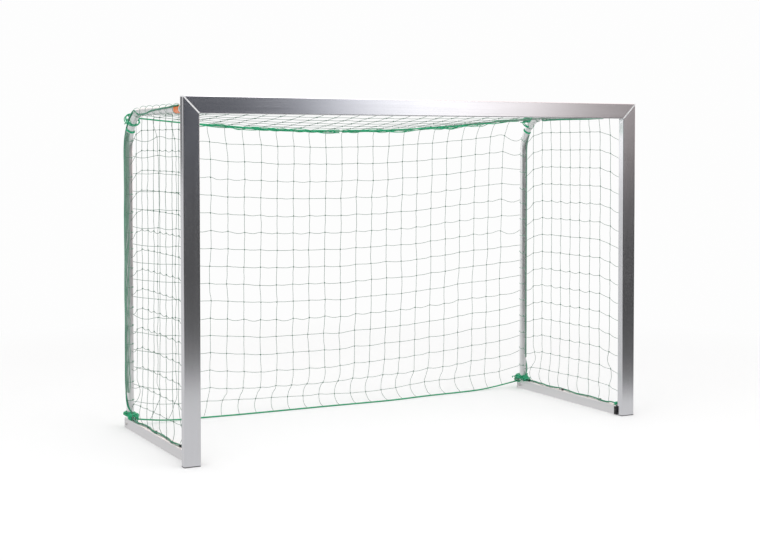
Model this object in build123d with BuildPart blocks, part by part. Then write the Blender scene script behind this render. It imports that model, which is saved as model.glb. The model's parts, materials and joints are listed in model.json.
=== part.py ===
"""Small training goal: an aluminium goal frame with two net frames that fold in on hinges, and its net.

Millimetres, +Z up, the mouth faces -Y. The origin is on the floor, midway between the posts and midway
between the front face and the net behind.
"""

import math
import os

from build123d import *

os.makedirs("parts", exist_ok=True)

# Goal: clear width and height of the mouth, and the box profile of posts and crossbar.
CLEAR_WIDTH = 2400
CLEAR_HEIGHT = 1600
FACE = 80
DEEP = 40
PROFILE_WALL = 3
PROFILE_RADIUS = 4
LEAST_RADIUS = 1
HALF_WIDTH = CLEAR_WIDTH / 2 + FACE
TOP = CLEAR_HEIGHT + FACE
FOOT_CAP = 4

# Depth: the net frames end at NET_FRAME_DEPTH behind the front face, and the net hangs just behind them.
NET_FRAME_DEPTH = 1000
NET_GAP = 2
NET_CORD = 3
MESH = 100
TOP_ROWS = 10
SIDE_COLUMNS = 10
SIDE_ROWS = 17
FRONT = -(NET_FRAME_DEPTH + NET_GAP + NET_CORD) / 2
POST_BACK = FRONT + DEEP
REAR = FRONT + NET_FRAME_DEPTH

# The knitted net: how far its panels stop short of the crossbar, and where the back panel starts.
TOP_NET_START_GAP = 5
TOP_NET_END = 1
BACK_NET_LOW = 40
SIDE_NET_GAP = 5

# Corner connectors, set on the mitre between post and crossbar.
FLANGE = 7
FLANGE_INSET = 0.4
LEG_LENGTH = 75
LEG_PLAY = 0.3
LEG_WALL = 5
LEG_RADIUS = 2
CORNER_SCREWS_POST = (1545, 1572)
CORNER_SCREWS_BAR = (1130, 1160)
CORNER_SCREW_X = CLEAR_WIDTH / 2 + FACE / 2
CORNER_SCREW_Z = CLEAR_HEIGHT + 45

# Net frames: a ground rail and a bent hoop tube in one upright plane.
RAIL_WIDTH = 40
RAIL_HEIGHT = 50
RAIL_WALL = 2.5
RAIL_RADIUS = 3
FRAME_X = CLEAR_WIDTH / 2 + RAIL_WIDTH / 2
CAP = 3
HOOP_RADIUS = 19
HOOP_WALL = 2
HOOP_TOP = 1624
HOOP_BEND = 200
HOOP_REAR_INSET = 30
HOOP_REAR = REAR - HOOP_REAR_INSET
PLUG_PLAY = 0.2
PLUG_RADIUS = HOOP_RADIUS - HOOP_WALL - PLUG_PLAY
PLUG_WALL = 3
PLUG_DEPTH = 5
FRONT_PLUG = 35
SPIGOT_BOTTOM = RAIL_WALL + 1
SPIGOT_LENGTH = 105
FOOT_BOLT_Z = 22
FOOT_BOLT = 10
FOOT_BOLT_HOLE = FOOT_BOLT + PLUG_PLAY
FOOT_HEAD = 14
FOOT_HEAD_HEIGHT = 5
FOOT_NUT = 17
FOOT_NUT_HEIGHT = 8
BOLT_END = 2

# Butt hinges: their pins stand in one line on each side, on the goal's inner side of the net frame.
HINGE_INSET = 8
HINGE_X = CLEAR_WIDTH / 2 - HINGE_INSET
KNUCKLE_RADIUS = 7
KNUCKLE_PLAY = 0.3
HINGE_Y = POST_BACK + KNUCKLE_RADIUS + KNUCKLE_PLAY
HINGE_HEIGHT = 42
LOWER_HINGE = 5
UPPER_HINGE = HOOP_TOP - HINGE_HEIGHT / 2
LEAF = 3
LEAF_GAP = 4
KNUCKLE = 14
KNUCKLE_GAP = 0.3
PIN = 6
PIN_PLAY = 0.05
PIN_END = 1
PIN_HEAD = 9
PIN_HEAD_HEIGHT = 2
MOVING_LEAF_Y = POST_BACK + LEAF + LEAF_GAP
LEAF_END = MOVING_LEAF_Y + LEAF
FRAME_START = LEAF_END + CAP
FIXED_SCREW_X = CLEAR_WIDTH / 2 + 29
FIXED_SCREW_SPREAD = 28
MOVING_SCREW_X = CLEAR_WIDTH / 2 + 12
MOVING_SCREW_SPREAD = 20

# Screws, all of one size.
SCREW = 5
SCREW_HOLE = 5.2
SCREW_LENGTH = 13
SCREW_HEAD = 9
SCREW_HEAD_HEIGHT = 2.4

# Net hooks: height, reach, thickness and width of one hook, and where they sit.
HOOK_HEIGHT = 18
HOOK_REACH = 9.5
HOOK_LIP = 9
HOOK_THICK = 2.5
HOOK_WIDTH = 10
BAR_HOOKS = 12
BAR_HOOK_PITCH = 200
BAR_HOOK_Z = CLEAR_HEIGHT + 52
POST_HOOK_X = CLEAR_WIDTH / 2 + 25
POST_HOOKS = [200 * n for n in range(1, 8)]
RAIL_HOOKS = [FRONT + y for y in (220, 570, 900)]

# Marker band on the hoop, and the ropes along the rear edges of the net.
BAND_START = FRONT + 178
BAND_LENGTH = 66
BAND_THICK = 0.5
ROPE = 8
ARC_SHARE = 0.45

SIDES = (("left", -1), ("right", 1))


def upright(y):
    """Plane facing -Y at y, with X to the right and Z up."""
    return Plane.XZ.offset(-y)


def side_plane(x):
    """Plane facing +X at x, with Y to the right and Z up."""
    return Plane.YZ.offset(x)


def finish(part, name):
    part.part.label = name
    export_step(part.part, f"parts/{name}.step")
    return part


def discs(plane, points, radius):
    """Equal discs at points of the plane, to extrude as holes, shanks or heads."""
    with BuildSketch(plane) as sketch:
        with Locations(*points):
            Circle(radius)
    return sketch.sketch


def rounded_tube(plane, centre, width, height, wall, radius):
    """Section of a box tube with rounded corners."""
    with BuildSketch(plane) as sketch:
        with Locations(centre):
            RectangleRounded(width, height, radius)
            inner_radius = max(radius - wall, LEAST_RADIUS)
            RectangleRounded(width - 2 * wall, height - 2 * wall, inner_radius, mode=Mode.SUBTRACT)
    return sketch.sketch


def rounded_bar(plane, centre, width, height, radius):
    """Section of a solid bar with rounded corners."""
    with BuildSketch(plane) as sketch:
        with Locations(centre):
            RectangleRounded(width, height, radius)
    return sketch.sketch


def corner_screw_points(side):
    post = [(side * CORNER_SCREW_X, z) for z in CORNER_SCREWS_POST]
    return post + [(side * x, CORNER_SCREW_Z) for x in CORNER_SCREWS_BAR]


def hinge_screw_points(x, spread, bottoms=(LOWER_HINGE, UPPER_HINGE)):
    """Two screws in each hinge leaf, one above the other."""
    middles = [bottom + HINGE_HEIGHT / 2 for bottom in bottoms]
    return [(x, middle + offset) for middle in middles for offset in (-spread / 2, spread / 2)]


def fixed_screw_points(side):
    return hinge_screw_points(side * FIXED_SCREW_X, FIXED_SCREW_SPREAD)


def moving_screw_points(side, bottoms=(LOWER_HINGE, UPPER_HINGE)):
    return hinge_screw_points(side * MOVING_SCREW_X, MOVING_SCREW_SPREAD, bottoms)


def back_wall_holes(side):
    """Screw holes in the goal frame's back wall: hinge screws and corner screws of one side."""
    points = fixed_screw_points(side) + corner_screw_points(side)
    return discs(upright(POST_BACK), points, SCREW_HOLE / 2)


def mitre_plane(side, offset):
    """The 45 degree plane through the corner, moved by offset away from the post."""
    return Plane(origin=(side * HALF_WIDTH, 0, TOP), z_dir=(-side, 0, 1)).offset(offset)


def make_post(name, side):
    centre = (side * (CLEAR_WIDTH + FACE) / 2, FRONT + DEEP / 2)
    section = rounded_tube(Plane.XY.offset(FOOT_CAP), centre, FACE, DEEP, PROFILE_WALL, PROFILE_RADIUS)
    with BuildPart() as post:
        extrude(section, amount=TOP - FOOT_CAP)
        split(bisect_by=mitre_plane(side, -FLANGE / 2), keep=Keep.BOTTOM)
        extrude(back_wall_holes(side), amount=DEEP / 2, mode=Mode.SUBTRACT)
    return finish(post, f"{name}_post")


def make_crossbar():
    centre = (FRONT + DEEP / 2, CLEAR_HEIGHT + FACE / 2)
    section = rounded_tube(side_plane(-HALF_WIDTH), centre, DEEP, FACE, PROFILE_WALL, PROFILE_RADIUS)
    with BuildPart() as bar:
        extrude(section, amount=2 * HALF_WIDTH)
        for _, side in SIDES:
            split(bisect_by=mitre_plane(side, FLANGE / 2), keep=Keep.TOP)
            extrude(back_wall_holes(side), amount=DEEP / 2, mode=Mode.SUBTRACT)
    return finish(bar, "crossbar")


def make_corner_connector(name, side):
    """A flange on the mitre with a hollow leg into the post and another into the crossbar."""
    x = side * (CLEAR_WIDTH + FACE) / 2
    y = FRONT + DEEP / 2
    z = CLEAR_HEIGHT + FACE / 2
    long_side = FACE - 2 * PROFILE_WALL - 2 * LEG_PLAY
    short_side = DEEP - 2 * PROFILE_WALL - 2 * LEG_PLAY
    post_start = Plane.XY.offset(CLEAR_HEIGHT - LEG_LENGTH)
    bar_start = side_plane(side * (CLEAR_WIDTH / 2 - LEG_LENGTH))
    post_section = rounded_tube(post_start, (x, y), long_side, short_side, LEG_WALL, LEG_RADIUS)
    bar_section = rounded_tube(bar_start, (y, z), short_side, long_side, LEG_WALL, LEG_RADIUS)
    with BuildPart() as post_leg:
        extrude(post_section, amount=LEG_LENGTH + FACE)
        split(bisect_by=mitre_plane(side, 0), keep=Keep.BOTTOM)
    with BuildPart() as bar_leg:
        extrude(bar_section, amount=side * (LEG_LENGTH + FACE))
        split(bisect_by=mitre_plane(side, 0), keep=Keep.TOP)
    with BuildPart() as connector:
        with Locations((x, y, z)):
            Box(FACE - 2 * FLANGE_INSET, DEEP - 2 * FLANGE_INSET, FACE - 2 * FLANGE_INSET)
        split(bisect_by=mitre_plane(side, -FLANGE / 2), keep=Keep.TOP)
        split(bisect_by=mitre_plane(side, FLANGE / 2), keep=Keep.BOTTOM)
        add(post_leg.part)
        add(bar_leg.part)
        extrude(back_wall_holes(side), amount=DEEP / 2, mode=Mode.SUBTRACT)
    return finish(connector, f"corner_connector_{name}")


def make_post_foot(name, side):
    """Plastic foot cap with a hollow plug that grips inside the post."""
    centre = (side * (CLEAR_WIDTH + FACE) / 2, FRONT + DEEP / 2)
    plug_x = FACE - 2 * PROFILE_WALL - 2 * PLUG_PLAY
    plug_y = DEEP - 2 * PROFILE_WALL - 2 * PLUG_PLAY
    with BuildPart() as foot:
        extrude(rounded_bar(Plane.XY, centre, FACE, DEEP, PROFILE_RADIUS), amount=FOOT_CAP)
        plug = rounded_tube(Plane.XY.offset(FOOT_CAP), centre, plug_x, plug_y, PLUG_WALL, LEAST_RADIUS)
        extrude(plug, amount=PLUG_DEPTH)
    return finish(foot, f"post_foot_{name}")


def make_screws(node, points, y, towards):
    """Low-headed screws: heads on the plane at y, shanks towards the front (-1) or the back (1)."""
    with BuildPart() as screws:
        extrude(discs(upright(y), points, SCREW / 2), amount=-towards * SCREW_LENGTH)
        extrude(discs(upright(y), points, SCREW_HEAD / 2), amount=towards * SCREW_HEAD_HEIGHT)
    return finish(screws, node)


def make_leaf(node, side, bottom, y, knuckles, screw_points):
    """A hinge leaf against the plane at y, with knuckles over the given heights and its screw holes."""
    leaf_start = CLEAR_WIDTH / 2
    axis = (side * HINGE_X, HINGE_Y)
    tab_centre = (side * (HINGE_X + leaf_start) / 2, y + LEAF / 2)
    with BuildPart() as leaf:
        with BuildSketch(upright(y)):
            with Locations((side * FRAME_X, bottom + HINGE_HEIGHT / 2)):
                Rectangle(RAIL_WIDTH, HINGE_HEIGHT)
            with Locations(*screw_points):
                Circle(SCREW_HOLE / 2, mode=Mode.SUBTRACT)
        extrude(amount=-LEAF)
        for low, high in knuckles:
            with BuildSketch(Plane.XY.offset(low)):
                with Locations(tab_centre):
                    Rectangle(leaf_start - HINGE_X, LEAF)
                with Locations(axis):
                    Circle(KNUCKLE_RADIUS)
                    Circle(PIN / 2 + PIN_PLAY, mode=Mode.SUBTRACT)
            extrude(amount=high - low)
    return finish(leaf, node)


def make_hinge(name, side, level, bottom):
    """A butt hinge: fixed leaf on the goal frame, moving leaf on the net frame, and the pin between them."""
    top = bottom + HINGE_HEIGHT
    outer = [(bottom, bottom + KNUCKLE), (top - KNUCKLE, top)]
    inner = [(bottom + KNUCKLE + KNUCKLE_GAP, top - KNUCKLE - KNUCKLE_GAP)]
    fixed_screws = hinge_screw_points(side * FIXED_SCREW_X, FIXED_SCREW_SPREAD, (bottom,))
    moving_screws = moving_screw_points(side, (bottom,))
    make_leaf(f"{level}_hinge_fixed_leaf_{name}", side, bottom, POST_BACK, outer, fixed_screws)
    make_leaf(f"{level}_hinge_moving_leaf_{name}", side, bottom, MOVING_LEAF_Y, inner, moving_screws)
    axis = [(side * HINGE_X, HINGE_Y)]
    with BuildPart() as pin:
        extrude(discs(Plane.XY.offset(bottom - PIN_END), axis, PIN / 2), amount=HINGE_HEIGHT + PIN_END)
        extrude(discs(Plane.XY.offset(top), axis, PIN_HEAD / 2), amount=PIN_HEAD_HEIGHT)
        fillet(pin.edges().group_by(Axis.Z)[-1], PIN_HEAD_HEIGHT / 2)
    return finish(pin, f"{level}_hinge_pin_{name}")


def foot_bolt_disc(x, radius):
    """A disc across the cross bolt's line at x."""
    return discs(side_plane(x), [(HOOP_REAR, FOOT_BOLT_Z)], radius)


def make_rail(name, side):
    x = side * FRAME_X
    section = rounded_tube(
        upright(FRAME_START), (x, RAIL_HEIGHT / 2), RAIL_WIDTH, RAIL_HEIGHT, RAIL_WALL, RAIL_RADIUS
    )
    spigot_hole = discs(Plane.XY.offset(RAIL_HEIGHT), [(x, HOOP_REAR)], PLUG_RADIUS + 2 * PLUG_PLAY)
    with BuildPart() as rail:
        extrude(section, amount=-(REAR - CAP - FRAME_START))
        extrude(spigot_hole, amount=-RAIL_HEIGHT / 2, mode=Mode.SUBTRACT)
        extrude(foot_bolt_disc(x, FOOT_BOLT_HOLE / 2), amount=RAIL_WIDTH, both=True, mode=Mode.SUBTRACT)
    return finish(rail, f"ground_rail_{name}")


def make_rail_plugs(name, side):
    """The front plug takes the hinge screws, and the rear cap closes the rail."""
    centre = (side * FRAME_X, RAIL_HEIGHT / 2)
    inner_width = RAIL_WIDTH - 2 * RAIL_WALL - 2 * PLUG_PLAY
    inner_height = RAIL_HEIGHT - 2 * RAIL_WALL - 2 * PLUG_PLAY
    screw_points = moving_screw_points(side, (LOWER_HINGE,))
    with BuildPart() as front:
        extrude(rounded_bar(upright(LEAF_END), centre, RAIL_WIDTH, RAIL_HEIGHT, RAIL_RADIUS), amount=-CAP)
        tongue = rounded_bar(upright(FRAME_START), centre, inner_width, inner_height, LEAST_RADIUS)
        extrude(tongue, amount=-FRONT_PLUG)
        extrude(discs(upright(LEAF_END), screw_points, SCREW_HOLE / 2), amount=-DEEP / 2, mode=Mode.SUBTRACT)
    finish(front, f"rail_front_plug_{name}")
    cap_face = upright(REAR - CAP)
    with BuildPart() as rear:
        extrude(rounded_bar(cap_face, centre, RAIL_WIDTH, RAIL_HEIGHT, RAIL_RADIUS), amount=-CAP)
        plug = rounded_tube(cap_face, centre, inner_width, inner_height, PLUG_WALL, LEAST_RADIUS)
        extrude(plug, amount=PLUG_DEPTH)
    return finish(rear, f"rail_rear_cap_{name}")


def make_hoop(name, side):
    x = side * FRAME_X
    foot = RAIL_HEIGHT + CAP
    with BuildPart() as hoop:
        with BuildLine():
            FilletPolyline(
                (x, FRAME_START, HOOP_TOP), (x, HOOP_REAR, HOOP_TOP), (x, HOOP_REAR, foot), radius=HOOP_BEND
            )
        with BuildSketch(Plane(origin=(x, FRAME_START, HOOP_TOP), z_dir=(0, 1, 0))):
            Circle(HOOP_RADIUS)
            Circle(HOOP_RADIUS - HOOP_WALL, mode=Mode.SUBTRACT)
        sweep()
    return finish(hoop, f"net_hoop_{name}")


def make_hoop_plugs(name, side):
    """Plug in the hoop's front end for the hinge screws, and the spigot that joins its foot to the rail."""
    x = side * FRAME_X
    front_end = [(x, HOOP_TOP)]
    screw_points = moving_screw_points(side, (UPPER_HINGE,))
    with BuildPart() as plug:
        extrude(discs(upright(LEAF_END), front_end, HOOP_RADIUS), amount=-CAP)
        extrude(discs(upright(FRAME_START), front_end, PLUG_RADIUS), amount=-FRONT_PLUG)
        extrude(discs(upright(LEAF_END), screw_points, SCREW_HOLE / 2), amount=-DEEP / 2, mode=Mode.SUBTRACT)
    finish(plug, f"hoop_front_plug_{name}")
    foot = [(x, HOOP_REAR)]
    with BuildPart() as spigot:
        extrude(discs(Plane.XY.offset(SPIGOT_BOTTOM), foot, PLUG_RADIUS), amount=SPIGOT_LENGTH)
        extrude(discs(Plane.XY.offset(RAIL_HEIGHT), foot, HOOP_RADIUS), amount=CAP)
        extrude(foot_bolt_disc(x, FOOT_BOLT_HOLE / 2), amount=RAIL_WIDTH, both=True, mode=Mode.SUBTRACT)
    return finish(spigot, f"hoop_foot_spigot_{name}")


def make_foot_bolt(name, side):
    """Cross bolt through the rail and the spigot, with its nut on the goal's inner side."""
    outside = side * (FRAME_X + RAIL_WIDTH / 2)
    inside = side * (FRAME_X - RAIL_WIDTH / 2)
    with BuildPart() as bolt:
        extrude(foot_bolt_disc(outside, FOOT_HEAD / 2), amount=side * FOOT_HEAD_HEIGHT)
        fillet(bolt.edges().sort_by(Axis.X)[-1 if side > 0 else 0], FOOT_HEAD_HEIGHT / 2)
        shank_length = RAIL_WIDTH + FOOT_NUT_HEIGHT + BOLT_END
        extrude(foot_bolt_disc(outside, FOOT_BOLT / 2), amount=-side * shank_length)
    finish(bolt, f"hoop_foot_bolt_{name}")
    with BuildPart() as nut:
        with BuildSketch(side_plane(inside)):
            with Locations((HOOP_REAR, FOOT_BOLT_Z)):
                RegularPolygon(FOOT_NUT / 2, 6, major_radius=False)
                Circle(FOOT_BOLT / 2 + PIN_PLAY, mode=Mode.SUBTRACT)
        extrude(amount=-side * FOOT_NUT_HEIGHT)
    return finish(nut, f"hoop_foot_nut_{name}")


def make_band(name, side):
    """Coloured marker band round the hoop near its front end."""
    with BuildPart() as band:
        with BuildSketch(upright(BAND_START)):
            with Locations((side * FRAME_X, HOOP_TOP)):
                Circle(HOOP_RADIUS + PIN_PLAY + BAND_THICK)
                Circle(HOOP_RADIUS + PIN_PLAY, mode=Mode.SUBTRACT)
        extrude(amount=-BAND_LENGTH)
    return finish(band, f"hoop_band_{name}")


def hook_profile(plane):
    """Side view of one hook: its back lies on the plane's Y axis, and it reaches out along X."""
    with BuildSketch(plane) as profile:
        with BuildLine():
            Polyline(
                (0, 0),
                (HOOK_REACH, 0),
                (HOOK_REACH, HOOK_LIP),
                (HOOK_REACH - HOOK_THICK, HOOK_LIP),
                (HOOK_REACH - HOOK_THICK, HOOK_THICK),
                (HOOK_THICK, HOOK_THICK),
                (HOOK_THICK, HOOK_HEIGHT),
                (0, HOOK_HEIGHT),
                close=True,
            )
        make_face()
    return profile.sketch


def make_hooks(node, planes):
    with BuildPart() as hooks:
        for plane in planes:
            extrude(hook_profile(plane), amount=HOOK_WIDTH / 2, both=True)
    return finish(hooks, node)


def back_hook(x, z):
    """Plane of a hook on the goal frame's back: X out of the face, Y up."""
    return Plane(origin=(x, POST_BACK, z), x_dir=(0, 1, 0), z_dir=(1, 0, 0))


def rail_hook(x, y):
    """Plane of a hook on top of a rail: X up, Y towards the rear."""
    return Plane(origin=(x, y - HOOK_HEIGHT / 2, RAIL_HEIGHT), x_dir=(0, 0, 1), z_dir=(-1, 0, 0))


def net_sketch(plane, centre, columns, rows, pitch_x, pitch_y):
    """A rectangle of square-mesh net, with a cord on every line."""
    with BuildSketch(plane) as net:
        with Locations(centre):
            Rectangle(columns * pitch_x + NET_CORD, rows * pitch_y + NET_CORD)
            with GridLocations(pitch_x, pitch_y, columns, rows):
                Rectangle(pitch_x - NET_CORD, pitch_y - NET_CORD, mode=Mode.SUBTRACT)
    return net.sketch


def make_net_back():
    """Net across the rear, from just above the floor to hoop height."""
    centre = (0, BACK_NET_LOW + CLEAR_HEIGHT / 2)
    columns, rows = CLEAR_WIDTH // MESH, CLEAR_HEIGHT // MESH
    sketch = net_sketch(upright(REAR + NET_GAP), centre, columns, rows, MESH, MESH)
    with BuildPart() as net:
        extrude(sketch, amount=-NET_CORD)
    return finish(net, "net_back")


def make_net_top():
    """Net above the hoops, from the crossbar to the rear."""
    start, end = LEAF_END + TOP_NET_START_GAP, REAR + TOP_NET_END
    pitch = (end - start - NET_CORD) / TOP_ROWS
    plane = Plane.XY.offset(HOOP_TOP + HOOP_RADIUS + NET_CORD)
    sketch = net_sketch(plane, (0, (start + end) / 2), CLEAR_WIDTH // MESH, TOP_ROWS, MESH, pitch)
    with BuildPart() as net:
        extrude(sketch, amount=NET_CORD)
    return finish(net, "net_top")


def side_outline(x, inset):
    """The space inside hoop, rail and post, less inset: a rectangle with its upper rear corner rounded."""
    low = RAIL_HEIGHT + HOOK_REACH + SIDE_NET_GAP + inset
    high = HOOP_TOP - HOOP_RADIUS - NET_GAP - inset
    start = FRAME_START + SIDE_NET_GAP + inset
    end = HOOP_REAR - HOOP_RADIUS - NET_GAP - inset
    with BuildSketch(side_plane(x)) as outline:
        with BuildLine():
            FilletPolyline(
                (start, high), (end, high), (end, low), radius=HOOP_BEND - HOOP_RADIUS - NET_GAP - inset
            )
            Polyline((end, low), (start, low), (start, high))
        make_face()
    return outline.sketch


def make_net_side(name, side):
    """Net inside one net frame; a border cord follows its outline."""
    x = side * FRAME_X
    middle = ((FRAME_START + HOOP_REAR) / 2, (RAIL_HEIGHT + HOOP_TOP) / 2)
    with BuildPart() as meshes:
        with BuildSketch(side_plane(x)):
            with Locations(middle):
                with GridLocations(MESH, MESH, SIDE_COLUMNS, SIDE_ROWS):
                    Rectangle(MESH - NET_CORD, MESH - NET_CORD)
        extrude(amount=NET_CORD, both=True)
        extrude(side_outline(x, NET_CORD), amount=NET_CORD, both=True, mode=Mode.INTERSECT)
    with BuildPart() as net:
        extrude(side_outline(x, 0), amount=NET_CORD / 2, both=True)
        add(meshes.part, mode=Mode.SUBTRACT)
    return finish(net, f"net_{name}")


# Routes of the two rear ropes. The top one hangs between the hoops; the bottom one lies on the floor.
TOP_ROPE = [
    (-1215, 930, 1598),
    (-1120, 934, 1590),
    (-1020, 938, 1581),
    (-915, 942, 1572),
    (-810, 945, 1564),
    (-700, 947, 1557),
    (-590, 949, 1551),
    (-480, 951, 1546),
    (-370, 952, 1542),
    (-260, 953, 1539),
    (-150, 954, 1537),
    (-40, 954, 1536),
    (70, 953, 1537),
    (180, 952, 1540),
    (290, 951, 1544),
    (400, 949, 1549),
    (510, 947, 1555),
    (620, 945, 1562),
    (725, 942, 1570),
    (830, 939, 1579),
    (930, 936, 1588),
    (1030, 933, 1598),
    (1125, 931, 1607),
    (1215, 930, 1614),
]
BOTTOM_ROPE = [
    (-1212, 1010, 40),
    (-1130, 1012, 26),
    (-1040, 1016, 13),
    (-945, 1020, 6),
    (-840, 1022, 4),
    (-735, 1015, 4),
    (-630, 1006, 4),
    (-525, 1003, 4),
    (-420, 999, 4),
    (-310, 997, 4),
    (-200, 994, 4),
    (-90, 992, 4),
    (20, 986, 4),
    (125, 982, 4),
    (230, 976, 4),
    (335, 975, 4),
    (440, 984, 4),
    (545, 996, 4),
    (650, 1000, 4),
    (755, 1001, 4),
    (860, 1006, 4),
    (960, 1014, 5),
    (1050, 1016, 14),
    (1135, 1013, 26),
    (1212, 1010, 38),
]


def make_rope(node, route):
    """A round rope along straight runs joined by arcs as large as the runs allow."""
    points = [Vector(x, FRONT + y, z) for x, y, z in route]
    radii = []
    for before, here, after in zip(points, points[1:], points[2:]):
        run_in, run_out = here - before, after - here
        turn = math.radians(run_in.get_angle(run_out))
        radii.append(ARC_SHARE * min(run_in.length, run_out.length) / math.tan(turn / 2))
    with BuildPart() as rope:
        with BuildLine() as path:
            FilletPolyline(*points, radius=radii)
        with BuildSketch(Plane(origin=path.wire() @ 0, z_dir=path.wire() % 0)):
            Circle(ROPE / 2)
        sweep()
    length = path.wire().length
    share = rope.part.volume / (math.pi * (ROPE / 2) ** 2 * length)
    print(node, "length", round(length), "least radius", round(min(radii)), "volume share", round(share, 4))
    return finish(rope, node)


make_crossbar()
for name, side in SIDES:
    make_post(name, side)
    make_corner_connector(name, side)
    make_post_foot(name, side)
    make_hinge(name, side, "lower", LOWER_HINGE)
    make_hinge(name, side, "upper", UPPER_HINGE)
    make_screws(f"net_frame_screws_{name}", moving_screw_points(side), MOVING_LEAF_Y, 1)
    make_rail(name, side)
    make_rail_plugs(name, side)
    make_hoop(name, side)
    make_hoop_plugs(name, side)
    make_foot_bolt(name, side)
    make_band(name, side)
    make_hooks(f"post_net_hooks_{name}", [back_hook(side * POST_HOOK_X, z) for z in POST_HOOKS])
    make_hooks(f"rail_net_hooks_{name}", [rail_hook(side * FRAME_X, y) for y in RAIL_HOOKS])
    make_net_side(name, side)
FIXED_SCREW_POINTS = [point for _, side in SIDES for point in fixed_screw_points(side)]
make_screws("goal_frame_hinge_screws", FIXED_SCREW_POINTS, POST_BACK + LEAF, -1)
CORNER_SCREW_POINTS = [point for _, side in SIDES for point in corner_screw_points(side)]
make_screws("corner_screws", CORNER_SCREW_POINTS, POST_BACK, -1)
BAR_HOOK_START = -BAR_HOOK_PITCH * (BAR_HOOKS - 1) / 2
BAR_HOOK_X = [BAR_HOOK_START + BAR_HOOK_PITCH * n for n in range(BAR_HOOKS)]
make_hooks("crossbar_net_hooks", [back_hook(x, BAR_HOOK_Z) for x in BAR_HOOK_X])
make_net_back()
make_net_top()
make_rope("rope_top_rear", TOP_ROPE)
make_rope("rope_bottom_rear", BOTTOM_ROPE)
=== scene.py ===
"""Looks of the training goal: net, ropes and lashings round the CAD frame, materials, light and camera.

Metres in the CAD model's frame: +Z up, the mouth faces -Y, the origin is on the floor.
"""

import json
import math

import bpy
import numpy as np
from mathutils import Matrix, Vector


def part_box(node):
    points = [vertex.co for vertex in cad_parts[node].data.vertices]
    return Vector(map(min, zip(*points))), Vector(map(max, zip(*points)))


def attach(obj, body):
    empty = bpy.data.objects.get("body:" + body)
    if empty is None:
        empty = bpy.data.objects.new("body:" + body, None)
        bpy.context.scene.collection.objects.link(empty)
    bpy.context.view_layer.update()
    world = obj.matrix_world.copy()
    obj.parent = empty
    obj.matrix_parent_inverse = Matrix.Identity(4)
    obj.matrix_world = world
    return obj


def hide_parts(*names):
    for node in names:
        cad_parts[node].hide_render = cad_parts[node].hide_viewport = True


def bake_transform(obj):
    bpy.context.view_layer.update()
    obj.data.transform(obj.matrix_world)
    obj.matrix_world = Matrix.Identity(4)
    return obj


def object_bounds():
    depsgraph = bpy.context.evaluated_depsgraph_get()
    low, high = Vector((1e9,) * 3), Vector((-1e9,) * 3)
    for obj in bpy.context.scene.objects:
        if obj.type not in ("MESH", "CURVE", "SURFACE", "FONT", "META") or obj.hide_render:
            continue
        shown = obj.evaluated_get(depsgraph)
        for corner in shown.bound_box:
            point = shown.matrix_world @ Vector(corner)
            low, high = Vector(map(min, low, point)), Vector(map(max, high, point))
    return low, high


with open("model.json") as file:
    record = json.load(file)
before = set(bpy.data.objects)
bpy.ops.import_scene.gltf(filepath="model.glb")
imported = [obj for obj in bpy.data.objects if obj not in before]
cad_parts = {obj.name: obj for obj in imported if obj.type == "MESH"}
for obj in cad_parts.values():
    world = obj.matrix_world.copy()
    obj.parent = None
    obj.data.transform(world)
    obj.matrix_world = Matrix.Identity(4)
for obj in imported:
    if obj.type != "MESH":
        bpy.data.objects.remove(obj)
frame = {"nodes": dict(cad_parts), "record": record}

CAD_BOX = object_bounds()
NODES = frame["nodes"]
SIDES = (("left", -1), ("right", 1))
rng = np.random.default_rng(7)

# Places read from the CAD frame.
POST_LOW, POST_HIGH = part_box("left_post")
BAR_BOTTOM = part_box("crossbar")[0].z
HOOP_LOW, HOOP_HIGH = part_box("net_hoop_right")
RAIL_LOW, RAIL_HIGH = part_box("ground_rail_right")
FRONT = POST_LOW.y
POST_BACK = POST_HIGH.y
HOOP_X = (HOOP_LOW.x + HOOP_HIGH.x) / 2
HOOP_R = (HOOP_HIGH.x - HOOP_LOW.x) / 2
HOOP_TOP = HOOP_HIGH.z - HOOP_R
HOOP_REAR = HOOP_HIGH.y - HOOP_R
HOOP_FRONT = HOOP_LOW.y
HOOP_FOOT = HOOP_LOW.z
HOOP_BEND = 0.2
HOOP_STRAIGHT = HOOP_REAR - HOOP_BEND - HOOP_FRONT
HOOP_ARC = HOOP_BEND * math.pi / 2
HOOP_LENGTH = HOOP_STRAIGHT + HOOP_ARC + (HOOP_TOP - HOOP_BEND - HOOP_FOOT)
RAIL_TOP = RAIL_HIGH.z

# The net: cord thickness and knot radius, meshes across each panel, and the length of a mesh side.
CORD = 0.0023
KNOT = 0.0031
COLUMNS = 24
TOP_ROWS = 9
BACK_ROWS = 17
SIDE_COLUMNS = 10
SIDE_ROWS = 16
BACK_BAR = 0.0938
SIDE_BAR = 0.0985

# How the net hangs: pieces of cord in a mesh side, steps to settle, the share of speed kept at each step,
# the weak pull that replaces gravity, and how far slack may stand out behind the CAD box.
PARTS = 3
MAIN_STEPS = 2600
SIDE_STEPS = 1800
STEP_TIME = 1 / 500
SPEED_KEPT = 0.985
PULL = (0, 0, -1.8)
LEAN_BACK = (0, 0.02, 0)
STAY_SHARE = 0.1
FLOOR_SLIP = 0.3
FABRIC_STANDS_OUT = 0.03

# How tightly rows and columns fit: cord length over distance, and the width of the mesh beside the hoop.
TOP_ROW_FIT = (0.985, 0.1)
BACK_ROW_FIT = (1.008, 0.14)
TOP_COLUMN_FIT = 0.97

# Where the net is held behind post and crossbar and between the hoops, and the grid of the side nets.
NET_START = POST_BACK + 0.012
HOOK_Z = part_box("crossbar_net_hooks")[0].z + 0.009
INNER_X = HOOP_X - HOOP_R
SIDE_PITCH_Y = (HOOP_REAR - HOOP_R - NET_START) / SIDE_COLUMNS

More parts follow.
